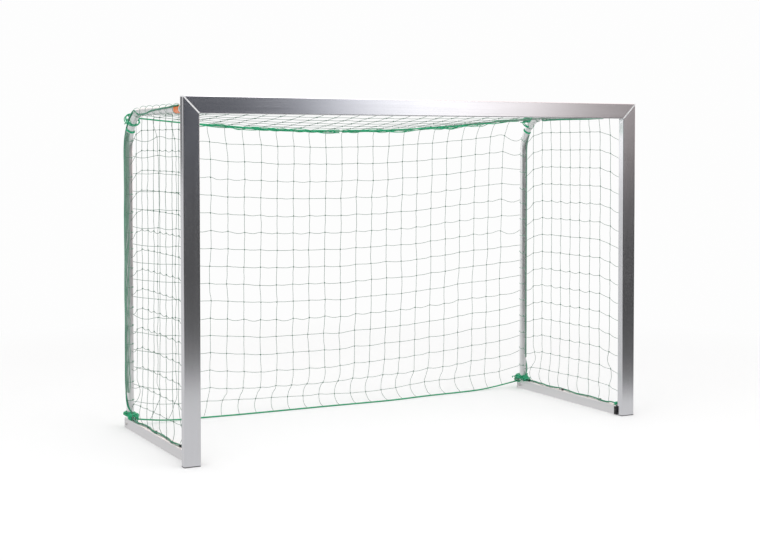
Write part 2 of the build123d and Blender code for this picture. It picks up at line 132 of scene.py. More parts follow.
# Thickness of ropes, lashings and the cords gathered along the hoops, and how the rope is twisted.
ROPE = 0.008
EDGE_ROPE = 0.008
LASH = 0.005
SELVEDGE = 0.0036
SELVEDGE_CORDS = 6
LACE_PITCH = 0.098
EDGE_TWIST = {"around": 10, "strands": 3, "lay": 0.022}
LASH_TWIST = {"around": 8, "strands": 3, "lay": 0.016}
SIDE_LOW = RAIL_TOP + EDGE_ROPE / 2
SIDE_PITCH_Z = (HOOP_TOP - HOOP_R - SIDE_LOW) / SIDE_ROWS

# Routes of the two rear ropes: x, distance behind the front face, and height.
TOP_ROPE = [
    (-1.215, 0.930, 1.598),
    (-1.120, 0.934, 1.590),
    (-1.020, 0.938, 1.581),
    (-0.915, 0.942, 1.572),
    (-0.810, 0.945, 1.564),
    (-0.700, 0.947, 1.557),
    (-0.590, 0.949, 1.551),
    (-0.480, 0.951, 1.546),
    (-0.370, 0.952, 1.542),
    (-0.260, 0.953, 1.539),
    (-0.150, 0.954, 1.537),
    (-0.040, 0.954, 1.536),
    (0.070, 0.953, 1.537),
    (0.180, 0.952, 1.540),
    (0.290, 0.951, 1.544),
    (0.400, 0.949, 1.549),
    (0.510, 0.947, 1.555),
    (0.620, 0.945, 1.562),
    (0.725, 0.942, 1.570),
    (0.830, 0.939, 1.579),
    (0.930, 0.936, 1.588),
    (1.030, 0.933, 1.598),
    (1.125, 0.931, 1.607),
    (1.215, 0.930, 1.614),
]
BOTTOM_ROPE = [
    (-1.212, 1.010, 0.040),
    (-1.130, 1.012, 0.026),
    (-1.040, 1.016, 0.013),
    (-0.945, 1.020, 0.006),
    (-0.840, 1.022, 0.004),
    (-0.735, 1.015, 0.004),
    (-0.630, 1.006, 0.004),
    (-0.525, 1.003, 0.004),
    (-0.420, 0.999, 0.004),
    (-0.310, 0.997, 0.004),
    (-0.200, 0.994, 0.004),
    (-0.090, 0.992, 0.004),
    (0.020, 0.986, 0.004),
    (0.125, 0.982, 0.004),
    (0.230, 0.976, 0.004),
    (0.335, 0.975, 0.004),
    (0.440, 0.984, 0.004),
    (0.545, 0.996, 0.004),
    (0.650, 1.000, 0.004),
    (0.755, 1.001, 0.004),
    (0.860, 1.006, 0.004),
    (0.960, 1.014, 0.005),
    (1.050, 1.016, 0.014),
    (1.135, 1.013, 0.026),
    (1.212, 1.010, 0.038),
]


# ---- mesh helpers


def new_object(name, verts, faces, material, smooth=True):
    mesh = bpy.data.meshes.new(name)
    mesh.from_pydata([tuple(v) for v in verts], [], [tuple(f) for f in faces])
    mesh.polygons.foreach_set("use_smooth", [smooth] * len(mesh.polygons))
    mesh.update()
    obj = bpy.data.objects.new(name, mesh)
    bpy.context.scene.collection.objects.link(obj)
    obj.data.materials.append(material)
    return obj


def smooth_path(points, steps):
    """Catmull-Rom curve through the points, with the given number of steps on each stretch."""
    p = np.asarray(points, float)
    padded = np.vstack([2 * p[0] - p[1], p, 2 * p[-1] - p[-2]])
    a, b, c, d = padded[:-3], padded[1:-2], padded[2:-1], padded[3:]
    t = (np.arange(steps) / steps)[None, :, None]
    a, b, c, d = (x[:, None, :] for x in (a, b, c, d))
    square, cube = 2 * a - 5 * b + 4 * c - d, 3 * b - a - 3 * c + d
    curve = 0.5 * (2 * b + (c - a) * t + square * t**2 + cube * t**3)
    return np.vstack([curve.reshape(-1, 3), p[-1]])


def path_frames(path):
    """Two directions across the path at each point, carried along it without twist."""
    run = np.gradient(path, axis=0)
    run /= np.maximum(np.linalg.norm(run, axis=1, keepdims=True), 1e-12)
    start = np.eye(3)[np.argmin(abs(run[0]))]
    side = np.cross(run[0], start)
    sides = []
    for direction in run:
        side = side - direction * side.dot(direction)
        side /= max(np.linalg.norm(side), 1e-12)
        sides.append(side)
    sides = np.array(sides)
    return sides, np.cross(run, sides)


class Strands:
    """Collects tubes and knots into one mesh."""

    def __init__(self):
        self.verts, self.faces, self.count = [], [], 0

    def add(self, verts, faces):
        self.verts.append(verts)
        self.faces.extend((faces + self.count).tolist())
        self.count += len(verts)

    def tube(self, path, radius, around=6, strands=0, lay=0.03, closed=False):
        """A tube along the path. With strands it is a twisted rope with that many lobes."""
        path = np.asarray(path, float)
        across, up = path_frames(path)
        angle = np.arange(around) * 2 * math.pi / around
        reach = np.full((len(path), around), radius)
        if strands:
            along = np.r_[0, np.cumsum(np.linalg.norm(np.diff(path, axis=0), axis=1))]
            turn = along[:, None] * 2 * math.pi / lay
            reach = radius * (0.86 + 0.14 * abs(np.cos(strands * (angle[None, :] - turn) / 2)) * 1.3)
            reach = np.minimum(reach, radius)
        rings = (
            path[:, None, :]
            + across[:, None, :] * (np.cos(angle)[None, :] * reach)[..., None]
            + up[:, None, :] * (np.sin(angle)[None, :] * reach)[..., None]
        )
        verts = rings.reshape(-1, 3)
        n, k = len(path), around
        i, j = np.meshgrid(np.arange(n - 1), np.arange(k), indexing="ij")
        nxt = (j + 1) % k
        quads = np.stack([i * k + j, i * k + nxt, (i + 1) * k + nxt, (i + 1) * k + j], -1).reshape(-1, 4)
        if closed:
            j = np.arange(k)
            join = np.stack([(n - 1) * k + j, (n - 1) * k + (j + 1) % k, (j + 1) % k, j], -1)
            self.add(verts, np.vstack([quads, join]))
            return
        ends = np.vstack([path[0], path[-1]])
        j = np.arange(k)
        first = np.stack([np.full(k, n * k), (j + 1) % k, j, j], -1)
        last = np.stack([np.full(k, n * k + 1), (n - 1) * k + j, (n - 1) * k + (j + 1) % k], -1)
        start = self.count
        self.add(np.vstack([verts, ends]), quads)
        self.faces.extend((first[:, :3] + start).tolist())
        self.faces.extend((last + start).tolist())

    def knot(self, centre, size, turned):
        """A tied knot: a lump with three turns of cord showing in its surface."""
        around, rows = 8, 6
        lat = np.linspace(0, math.pi, rows + 1)[1:-1]
        lon = np.arange(around) * 2 * math.pi / around
        grid_lat, grid_lon = np.meshgrid(lat, lon, indexing="ij")
        reach = size * (1 + 0.16 * np.cos(3 * grid_lon + 2 * grid_lat + turned[2]))
        x = reach * np.sin(grid_lat) * np.cos(grid_lon) * 1.15
        y = reach * np.sin(grid_lat) * np.sin(grid_lon)
        z = reach * np.cos(grid_lat) * 1.3
        verts = np.stack([x, y, z], -1).reshape(-1, 3)
        verts = np.vstack([verts, [0, 0, size * 1.3], [0, 0, -size * 1.3]])
        ca, sa = math.cos(turned[0]), math.sin(turned[0])
        cb, sb = math.cos(turned[1]), math.sin(turned[1])
        about_z = np.array([[ca, -sa, 0], [sa, ca, 0], [0, 0, 1]])
        about_x = np.array([[1, 0, 0], [0, cb, -sb], [0, sb, cb]])
        turn = about_z @ about_x
        verts = verts @ turn.T + np.asarray(centre)
        start = self.count
        quads, m = [], rows - 1
        for i in range(m - 1):
            for j in range(around):
                nxt = (j + 1) % around
                near, far = i * around, (i + 1) * around
                quads.append((near + j, far + j, far + nxt, near + nxt))
        self.add(verts, np.array(quads))
        top, bottom = start + m * around, start + m * around + 1
        for j in range(around):
            nxt = (j + 1) % around
            self.faces.append((top, start + j, start + nxt))
            self.faces.append((bottom, start + (m - 1) * around + nxt, start + (m - 1) * around + j))

    def build(self, name, material):
        return new_object(name, np.vstack(self.verts), self.faces, material)


# ---- materials


def ramp(nodes, links, source, stops):
    """A colour ramp with these stops, fed by source."""
    made = nodes.new("ShaderNodeValToRGB")
    elements = made.color_ramp.elements
    while len(elements) < len(stops):
        elements.new(0.5)
    for element, (place, colour) in zip(elements, stops):
        element.position = place
        element.color = (*colour, 1)
    links.new(source, made.inputs["Fac"])
    return made.outputs["Color"]


class Look:
    """A material in the making: its nodes and its shader."""

    def __init__(self, name):
        self.material = bpy.data.materials.new(name)
        self.material.use_nodes = True
        self.nodes, self.links = self.material.node_tree.nodes, self.material.node_tree.links
        self.shader = self.nodes["Principled BSDF"]

    def set(self, socket, value):
        self.shader.inputs[socket].default_value = value

    def feed(self, socket, source):
        self.links.new(source, self.shader.inputs[socket])

    def noise(self, scale, detail=4.0):
        """Noise in the object's own coordinates, with its own scale along each axis."""
        place = self.nodes.new("ShaderNodeTexCoord")
        mapping = self.nodes.new("ShaderNodeMapping")
        mapping.inputs["Scale"].default_value = scale
        noise = self.nodes.new("ShaderNodeTexNoise")
        noise.inputs["Scale"].default_value = 1.0
        noise.inputs["Detail"].default_value = detail
        self.links.new(place.outputs["Object"], mapping.inputs["Vector"])
        self.links.new(mapping.outputs["Vector"], noise.inputs["Vector"])
        return noise.outputs["Fac"]

    def tones(self, source, stops):
        """Colours of a surface, or shades of grey for a plain value."""
        colours = [(place, tone if isinstance(tone, tuple) else (tone,) * 3) for place, tone in stops]
        return ramp(self.nodes, self.links, source, colours)

    def bump(self, height, strength, distance):
        made = self.nodes.new("ShaderNodeBump")
        made.inputs["Strength"].default_value = strength
        made.inputs["Distance"].default_value = distance
        self.links.new(height, made.inputs["Height"])
        self.feed("Normal", made.outputs["Normal"])

    def mix(self, a, b, share):
        """The average of two values, weighted by share."""
        made = self.nodes.new("ShaderNodeMix")
        made.inputs["Factor"].default_value = share
        self.links.new(a, made.inputs["A"])
        self.links.new(b, made.inputs["B"])
        return made.outputs["Result"]


def aluminium(name, tone, along, roughness, streak=0.35):
    """Drawn aluminium: streaks and fine scratches along one axis over a faint cloudiness."""
    look = Look(name)
    look.set("Metallic", 1.0)
    look.set("Specular IOR Level", 0.5)
    fine = [520.0, 520.0, 520.0]
    broad = [45.0, 45.0, 45.0]
    fine[along], broad[along] = 4.0, 0.9
    scratches = look.noise(fine, 6.0)
    streaks = look.noise(broad, 3.0)
    clouds = look.noise((3.0, 3.0, 3.0), 3.0)
    lines = look.mix(scratches, streaks, streak)
    surface = look.mix(lines, clouds, 0.25)
    dark = tuple(c * 0.93 for c in tone)
    light = tuple(min(1.0, c * 1.04) for c in tone)
    colour = look.tones(surface, [(0.3, dark), (0.5, tone), (0.7, light)])
    look.feed("Base Color", colour)
    low, high = roughness - 0.03, roughness + 0.04
    rough = look.tones(surface, [(0.3, low), (0.7, high)])
    look.feed("Roughness", rough)
    look.bump(scratches, 0.05, 0.0002)
    return look.material


def cast_aluminium(name, tone):
    """Blasted cast aluminium: bright, matt and finely pitted."""
    look = Look(name)
    look.set("Metallic", 0.35)
    look.set("Roughness", 0.6)
    pits = look.noise((1100.0,) * 3, 3.0)
    clouds = look.noise((60.0,) * 3, 3.0)
    shade = tuple(c * 0.9 for c in tone)
    look.feed("Base Color", look.tones(clouds, [(0.35, shade), (0.65, tone)]))
    look.bump(pits, 0.2, 0.0003)
    return look.material


def plastic(name, tone, roughness, grain=900.0):
    """Moulded plastic with a fine spark-eroded grain and slight scuffing."""
    look = Look(name)
    texture = look.noise((grain,) * 3, 5.0)
    scuffs = look.noise((40.0, 40.0, 40.0), 4.0)
    worn = tuple(min(1.0, c * 1.5 + 0.012) for c in tone)
    look.feed("Base Color", look.tones(scuffs, [(0.45, tone), (0.75, worn)]))
    rough = look.tones(scuffs, [(0.3, roughness), (0.7, min(1.0, roughness + 0.15))])
    look.feed("Roughness", rough)
    look.bump(texture, 0.25, 0.0004)
    return look.material


def painted(name, tone):
    """Powder coat: a fine orange-peel skin over black paint."""
    look = Look(name)
    peel = look.noise((380.0, 380.0, 380.0), 2.0)
    rubbed = look.noise((60.0, 60.0, 60.0), 5.0)
    worn = (0.09, 0.09, 0.095)
    look.feed("Base Color", look.tones(rubbed, [(0.55, tone), (0.8, worn)]))
    look.set("Roughness", 0.42)
    look.set("Coat Weight", 0.15)
    look.bump(peel, 0.3, 0.0005)
    return look.material


def zinc(name):
    """Zinc plate: bluish, with passivation clouds and turning marks."""
    look = Look(name)
    look.set("Metallic", 1.0)
    clouds = look.noise((140.0, 140.0, 140.0), 4.0)
    marks = look.noise((900.0, 900.0, 900.0), 3.0)
    tones = [(0.3, (0.45, 0.47, 0.52)), (0.5, (0.62, 0.62, 0.62)), (0.7, (0.66, 0.63, 0.55))]
    look.feed("Base Color", look.tones(clouds, tones))
    rough = look.tones(clouds, [(0.3, 0.25), (0.7, 0.45)])
    look.feed("Roughness", rough)
    look.bump(marks, 0.2, 0.0003)
    return look.material


def cord_fabric(name, dark, light, twist):
    """Twisted polypropylene: diagonal fibres, a faint sheen and uneven dye."""
    look = Look(name)
    place = look.nodes.new("ShaderNodeTexCoord")
    wave = look.nodes.new("ShaderNodeTexWave")
    wave.wave_type = "BANDS"
    wave.bands_direction = "DIAGONAL"
    wave.inputs["Scale"].default_value = twist
    wave.inputs["Distortion"].default_value = 3.0
    wave.inputs["Detail"].default_value = 2.0
    look.links.new(place.outputs["Object"], wave.inputs["Vector"])
    dye = look.noise((9.0, 9.0, 9.0), 3.0)
    fibres = look.noise((1500.0, 1500.0, 1500.0), 2.0)
    surface = look.mix(wave.outputs["Fac"], dye, 0.5)
    look.feed("Base Color", look.tones(surface, [(0.3, dark), (0.68, light)]))
    look.set("Roughness", 0.55)
    look.set("Sheen Weight", 0.25)
    look.set("Sheen Roughness", 0.4)
    relief = look.mix(wave.outputs["Fac"], fibres, 0.4)
    look.bump(relief, 0.5, 0.0006)
    return look.material


def tape(name, tone):
    """Glossy wrapped tape with faint wrinkles round the tube."""
    look = Look(name)
    wrinkles = look.noise((70.0, 260.0, 70.0), 3.0)
    dirt = look.noise((60.0, 60.0, 60.0), 4.0)
    worn = tuple(c * 0.6 for c in tone)
    look.feed("Base Color", look.tones(dirt, [(0.45, tone), (0.8, worn)]))
    look.set("Roughness", 0.28)
    look.set("Coat Weight", 0.4)
    look.bump(wrinkles, 0.35, 0.0008)
    return look.material


TONE = (0.80, 0.80, 0.83)
POST_METAL = aluminium("aluminium_post", TONE, 2, 0.15)
BAR_METAL = aluminium("aluminium_crossbar", TONE, 0, 0.15)
RAIL_METAL = aluminium("aluminium_rail", (0.83, 0.82, 0.83), 1, 0.38)
HOOP_METAL = aluminium("aluminium_hoop", (0.93, 0.94, 0.94), 2, 0.36, 0.5)
CONNECTOR_METAL = cast_aluminium("aluminium_connector", (0.93, 0.93, 0.94))
BLACK = plastic("black_plastic", (0.018, 0.018, 0.02), 0.5)
HINGE_BLACK = painted("hinge_black", (0.012, 0.012, 0.013))
ZINC = zinc("zinc_steel")
NET_GREEN = cord_fabric("net_cord", (0.05, 0.12, 0.085), (0.14, 0.27, 0.20), 420.0)
LACE_GREEN = cord_fabric("lacing_cord", (0.10, 0.23, 0.165), (0.24, 0.43, 0.33), 420.0)
ROPE_GREEN = cord_fabric("rope_green", (0.0, 0.2, 0.08), (0.02, 0.47, 0.21), 160.0)
EDGE_GREEN = cord_fabric("edge_rope_green", (0.0, 0.13, 0.065), (0.02, 0.30, 0.16), 200.0)
LASH_GREEN = cord_fabric("lashing_green", (0.0, 0.22, 0.10), (0.02, 0.55, 0.26), 220.0)
ORANGE = tape("orange_band", (0.86, 0.19, 0.02))

SLOT_MATERIALS = {
    "connector_aluminium": CONNECTOR_METAL,
    "black_plastic": BLACK,
    "hinge_black": HINGE_BLACK,
    "zinc_steel": ZINC,
    "net_green": NET_GREEN,
    "rope_green": ROPE_GREEN,
    "orange_band": ORANGE,
}
NODE_MATERIALS = {
    "left_post": POST_METAL,
    "right_post": POST_METAL,
    "crossbar": BAR_METAL,
    "ground_rail_left": RAIL_METAL,
    "ground_rail_right": RAIL_METAL,
    "net_hoop_left": HOOP_METAL,
    "net_hoop_right": HOOP_METAL,
}


def dress_cad_nodes():
    for entry in frame["record"]["subparts"]:
        node = NODES[entry["node"]]
        made = NODE_MATERIALS.get(entry["node"]) or SLOT_MATERIALS[entry["material_slot"]]
        node.data.materials.clear()
        node.data.materials.append(made)


# ---- the net


class Panel:
    """Knots and cords of a net panel, as particles that hang under gravity."""

    def __init__(self):
        self.points, self.fixed, self.lines, self.rests, self.knots, self.index = [], [], [], [], [], {}

    def particle(self, place, fixed=False):
        self.points.append(np.asarray(place, float))
        self.fixed.append(fixed)
        return len(self.points) - 1

    def knot(self, key, place, fixed=False, tied=True):
        self.index[key] = self.particle(place, fixed)
        if tied:
            self.knots.append(self.index[key])

    def line(self, keys, bar, spread, direction):
        """A cord through the knots of these keys. bar is a mesh side's length, or a list of them."""
        bars = bar if isinstance(bar, list) else [bar] * (len(keys) - 1)
        chain, rests = [self.index[keys[0]]], []
        for (a, b), length in zip(zip(keys, keys[1:]), bars):
            start, end = self.points[self.index[a]], self.points[self.index[b]]
            for part in range(1, PARTS):
                stray = rng.normal(0, 0.003, 3)
                chain.append(self.particle(start + (end - start) * part / PARTS + stray))
            chain.append(self.index[b])
            rests += [length * (1 + rng.normal(0, spread)) / PARTS] * PARTS
        self.lines.append((chain, direction))
        self.rests.append(rests)

    def groups(self):
        """Links and stays, in groups where no particle comes twice."""
        links = {}
        for (chain, direction), rests in zip(self.lines, self.rests):
            for k, rest in enumerate(rests):
                links.setdefault(("link", direction, k % 2), []).append((chain[k], chain[k + 1], rest))
            for k in range(len(chain) - 2):
                rest = 0.985 * (rests[k] + rests[k + 1])
                links.setdefault(("stay", direction, k % 4 // 2), []).append((chain[k], chain[k + 2], rest))
        return links

    def hang(self, steps, floor, push=(0, 0, 0)):
        """Lets the panel fall and settle. Links only hold back stretching; stays only hold back folding."""
        p = np.array(self.points)
        free = (~np.array(self.fixed)).astype(float)
        groups = []
        for (kind, _, _), rows in sorted(self.groups().items()):
            a, b = (np.array([r[n] for r in rows]) for n in (0, 1))
            rest = np.array([r[2] for r in rows])
            weight = free[a] + free[b]
            weight[weight == 0] = 1
            groups.append((kind, a, b, rest, (free[a] / weight)[:, None], (free[b] / weight)[:, None]))
        old = p.copy()
        pull = (np.array(PULL) + np.array(push)) * STEP_TIME**2
        for _ in range(steps):
            moved = p + (p - old) * SPEED_KEPT + pull
            old = p
            p = np.where(free[:, None] > 0, moved, p)
            for kind, a, b, rest, wa, wb in groups * 3:
                gap = p[b] - p[a]
                length = np.maximum(np.linalg.norm(gap, axis=1), 1e-9)
                if kind == "link":
                    off = np.maximum(length - rest, 0)
                else:
                    off = np.minimum(length - rest, 0) * STAY_SHARE
                shift = gap * (off / length)[:, None]
                p[a] += shift * wa
                p[b] -= shift * wb
            p[:, 1] = np.minimum(p[:, 1], CAD_BOX[1].y + FABRIC_STANDS_OUT)
            low = p[:, 2] < floor
            p[low, 2] = floor
            p[low, :2] = old[low, :2] + (p[low, :2] - old[low, :2]) * FLOOR_SLIP
        self.points = list(p)

    def strands(self, out, keep=None, wave=0.0012):
        """Adds the panel's cords and knots to a Strands."""
        p = np.array(self.points)
        for chain, _ in self.lines:
            if keep and not keep(p[chain]):
                continue
            path = smooth_path(p[chain], 2)
            stray = rng.normal(0, wave, (len(path), 3))
            stray[1:-1] = (stray[:-2] + stray[1:-1] * 2 + stray[2:]) / 4
            stray[[0, -1]] = 0
            path = path + stray
            path[:, 2] = np.maximum(path[:, 2], CORD / 2)
            out.tube(path, CORD / 2)
        for k in self.knots:
            if keep and not keep(p[[k]]):
                continue
            centre = p[k].copy()
            centre[2] = max(centre[2], KNOT)
            out.knot(centre, KNOT, rng.uniform(0, 2 * math.pi, 3))


def along_hoop(side, share):
    """Centre of the hoop's tube, from its front end (0) to its foot (1), and its direction."""
    s = share * HOOP_LENGTH
    if s <= HOOP_STRAIGHT:
        return np.array((side * HOOP_X, HOOP_FRONT + s, HOOP_TOP)), np.array((0.0, 1.0, 0.0))
    if s <= HOOP_STRAIGHT + HOOP_ARC:
        turn = (s - HOOP_STRAIGHT) / HOOP_BEND
        y = HOOP_REAR - HOOP_BEND + HOOP_BEND * math.sin(turn)
        z = HOOP_TOP - HOOP_BEND * (1 - math.cos(turn))
        return np.array((side * HOOP_X, y, z)), np.array((0.0, math.cos(turn), -math.sin(turn)))
    z = HOOP_TOP - HOOP_BEND - (s - HOOP_STRAIGHT - HOOP_ARC)
    return np.array((side * HOOP_X, HOOP_REAR, z)), np.array((0.0, 0.0, -1.0))


def rope_curve(route):
    """The rope's smooth line: the NURBS curve that has the route's points as its control points."""
    curve = bpy.data.curves.new("route", "CURVE")
    curve.dimensions = "3D"
    curve.resolution_u = 8
    spline = curve.splines.new("NURBS")
    spline.points.add(len(route) - 1)
    for point, (x, depth, z) in zip(spline.points, route):
        point.co = (x, FRONT + depth, z, 1)
    spline.order_u = 3
    spline.use_endpoint_u = True
    holder = bpy.data.objects.new("route", curve)
    bpy.context.scene.collection.objects.link(holder)
    bpy.context.view_layer.update()
    mesh = bpy.data.meshes.new_from_object(holder.evaluated_get(bpy.context.evaluated_depsgraph_get()))
    points = np.array([v.co for v in mesh.vertices])
    bpy.data.objects.remove(holder)
    bpy.data.meshes.remove(mesh)
    return points


def at_x(path, x):
    """The point of a path that runs along X where it passes x."""
    return np.array([np.interp(x, path[:, 0], path[:, n]) for n in range(3)])


def tube_side(centre, direction, side, outwards, upwards):
    """A point on the hoop's skin.

    outwards is away from the goal's middle, upwards is away from the bend's centre.
    """
    across = np.array((side, 0.0, 0.0))
    away = np.cross(across, direction) * side
    offset = across * outwards + away * upwards
    return centre + offset / np.linalg.norm(offset) * (HOOP_R + CORD / 2)


def share_at_depth(y):
    """Share of the hoop's length at depth y of its straight top."""
    return (y - HOOP_FRONT) / HOOP_LENGTH


def share_at_height(z):
    """Share of the hoop's length at height z of its upright."""
    return 1 - (z - HOOP_FOOT) / HOOP_LENGTH


def share_on_bend(turn):
    """Share of the hoop's length where its bend has turned by this angle."""
    return (HOOP_STRAIGHT + HOOP_BEND * turn) / HOOP_LENGTH


def main_knot(i, j, rear, foot):
    """Where knot i, j of the main net starts, between the hooks, the top rope and the bottom rope."""
    x = -INNER_X + 2 * INNER_X * i / COLUMNS
    edge = i in (0, COLUMNS)
    side = 1 if i else -1
    if j <= TOP_ROWS:
        share = j / TOP_ROWS
        place = np.array((x, NET_START, HOOK_Z)) * (1 - share) + rear * share
        if edge and 0 < j < TOP_ROWS:
            centre, direction = along_hoop(side, share_at_depth(place[1]))
            place = tube_side(centre, direction, side, -1, -0.3)
        return place
    if j == TOP_ROWS + BACK_ROWS:
        return foot
    share = (j - TOP_ROWS) / BACK_ROWS
    if edge:
        height = HOOP_TOP - HOOP_R - 0.02 - (HOOP_TOP - HOOP_FOOT - 0.03) * share
        centre, direction = along_hoop(side, share_at_height(height))
        return tube_side(centre, direction, side, -1, 0.6)
    depth = rear[1] + (foot[1] - rear[1]) * share + 0.035 * share**3
    return np.array((x, depth, max(0.004, rear[2] - BACK_BAR * (j - TOP_ROWS))))


def make_main_net(top_path, bottom_path):
    """The net's top and back in one piece, hung from crossbar, hoops and top rope to the floor."""
    panel = Panel()
    rows = TOP_ROWS + BACK_ROWS
    for i in range(COLUMNS + 1):
        x = -INNER_X + 2 * INNER_X * i / COLUMNS
        edge = i in (0, COLUMNS)
        rear, foot = at_x(top_path, x), at_x(bottom_path, x)
        for j in range(rows + 1):
            fixed = j in (0, TOP_ROWS, rows) or edge
            panel.knot((i, j), main_knot(i, j, rear, foot), fixed, tied=not (edge or j == rows))
    middle = COLUMNS // 2
    for j in range(1, rows):
        if j == TOP_ROWS:
            continue
        slack, outer = TOP_ROW_FIT if j < TOP_ROWS else BACK_ROW_FIT
        bar = (INNER_X - outer) / (middle - 1) * slack
        bars = [outer * slack] + [bar] * (middle - 1)
        panel.line([(i, j) for i in range(middle + 1)], bars, 0.02, "row")
        panel.line([(i, j) for i in range(middle, COLUMNS + 1)], bars[::-1], 0.02, "row_right")
    reach = math.dist((NET_START, HOOK_Z), top_path[len(top_path) // 2][1:])
    bars = [reach / TOP_ROWS * TOP_COLUMN_FIT] * TOP_ROWS + [BACK_BAR] * BACK_ROWS
    for i in range(1, COLUMNS):
        panel.line([(i, j) for j in range(rows + 1)], bars, 0.015, "column")
    panel.hang(MAIN_STEPS, CORD / 2, push=LEAN_BACK)
    return panel


def inside_hoop(y, z, clear):
    """Whether a point of a side panel lies inside the hoop's inner line, by clear."""
    if y > HOOP_REAR - HOOP_R - clear or z > HOOP_TOP - HOOP_R - clear:
        return False
    dy, dz = y - (HOOP_REAR - HOOP_BEND), z - (HOOP_TOP - HOOP_BEND)
    return not (dy > 0 and dz > 0 and math.hypot(dy, dz) > HOOP_BEND - HOOP_R - clear)


def share_above(y):
    """Share of the hoop's length above depth y, on its straight top or its bend."""
    ahead = y - (HOOP_REAR - HOOP_BEND)
    if ahead <= 0:
        return share_at_depth(y)
    return share_on_bend(math.asin(min(1, ahead / (HOOP_BEND - HOOP_R))))


def share_behind(z):
    """Share of the hoop's length behind height z, on its bend or its upright."""
    if z > HOOP_TOP - HOOP_BEND:
        return share_on_bend(math.acos(min(0.999, (z - HOOP_TOP + HOOP_BEND) / (HOOP_BEND - HOOP_R))))
    return share_at_height(z)


def hold_to_hoop(panel, key, side, share):
    """A fixed end of a side net's cord on the hoop's inner side."""
    centre, direction = along_hoop(side, share)
    panel.knot(key, tube_side(centre, direction, side, -0.2, -1), True, tied=False)


def side_knots(panel, side):
    """Knots of a side net inside the hoop, and their keys by column and by row."""
    columns, rows = {}, {}
    for i in range(1, SIDE_COLUMNS):
        y = NET_START + SIDE_PITCH_Y * i
        for j in range(1, SIDE_ROWS):
            z = SIDE_LOW + SIDE_PITCH_Z * j
            if inside_hoop(y, z, 0.035):
                belly = 0.012 * math.sin(math.pi * j / SIDE_ROWS) * side
                panel.knot((i, j), (side * HOOP_X + belly, y, z))
                columns.setdefault(i, []).append((i, j))
                rows.setdefault(j, []).append((i, j))
    return columns, rows


def side_column(panel, side, i, keys):
    """Holds a column at rail and hoop. Gives its keys and the lengths of its mesh sides."""
    y = NET_START + SIDE_PITCH_Y * i + rng.normal(0, 0.004)
    foot, head = ("foot", i), ("head", i)
    panel.knot(foot, (side * HOOP_X + side * rng.normal(0, 0.003), y, SIDE_LOW), True)
    hold_to_hoop(panel, head, side, share_above(y))
    chain = [foot, *keys, head]
    lengths = [SIDE_BAR] * (len(chain) - 2)
    tall = panel.points[panel.index[head]][2] - SIDE_LOW
    slack = 1.012 if i in (1, SIDE_COLUMNS - 1) else 1.0
    return chain, lengths + [max(0.02, tall * slack - sum(lengths))]


def side_row(panel, side, j, keys):
    """Holds a row at post and hoop, and adds its cord."""
    z = SIDE_LOW + SIDE_PITCH_Z * j
    front, rear = ("front", j), ("rear", j)
    panel.knot(front, (side * (HOOP_X + 0.004), NET_START, z - 0.03), True)
    drop = 0.035 + 0.02 * (j / SIDE_ROWS)
    hold_to_hoop(panel, rear, side, share_behind(z - drop))
    reach = np.linalg.norm(panel.points[panel.index[rear]] - panel.points[panel.index[keys[-1]]])
    lengths = [SIDE_PITCH_Y * 1.008] * len(keys) + [reach * 1.01]
    panel.line([front, *keys, rear], lengths, 0.015, "row")


def make_side_net(side):
    """The net inside one net frame, laced to hoop, rail and post."""
    panel = Panel()
    columns, rows = side_knots(panel, side)
    for chain, lengths in [side_column(panel, side, i, keys) for i, keys in columns.items()]:
        panel.line(chain, lengths, 0.003, "column")
    for j, keys in rows.items():
        side_row(panel, side, j, keys)
    panel.hang(SIDE_STEPS, CORD / 2)
    return panel


def ring_path(centre, direction, radius, tilt, turns=1.0, steps=20, rise=0.0):
    """Points of a loop round an axis, tilted along it. More than one turn makes a coil that rises."""
    direction = np.asarray(direction, float)
    first = np.cross(direction, (0.30, 0.11, 0.95) if abs(direction[2]) < 0.9 else (1, 0, 0))
    first /= np.linalg.norm(first)
    second = np.cross(direction, first)
    angle = np.linspace(0, turns * 2 * math.pi, int(steps * turns) + 1)
    along = tilt * np.cos(angle) + rise * angle / (2 * math.pi)
    return (
        np.asarray(centre)
        + radius * (np.cos(angle)[:, None] * first + np.sin(angle)[:, None] * second)
        + along[:, None] * direction
    )


def make_hoop_lacing(name, side):
    """Loops of net cord round the hoop, one for each mesh, looser along its top."""
    loops = Strands()
    count = round(HOOP_LENGTH / LACE_PITCH)
    for k in range(1, count):
        share = k / count + rng.normal(0, 0.0015)
        centre, direction = along_hoop(side, share)
        loose = 0.004 if share < 0.36 else 0.0008
        offset = tube_side(centre, direction, side, 0.2, 1) - centre
        middle = centre + offset / np.linalg.norm(offset) * loose
        path = ring_path(middle, direction, HOOP_R + CORD / 2 + loose, rng.normal(0.006, 0.004), steps=24)
        loops.tube(path[:-1], CORD / 2, closed=True)
        loops.knot(tube_side(centre, direction, side, -0.5, -1), KNOT, rng.uniform(0, 6, 3))
    return loops.build(f"hoop_lacing_{name}", LACE_GREEN)


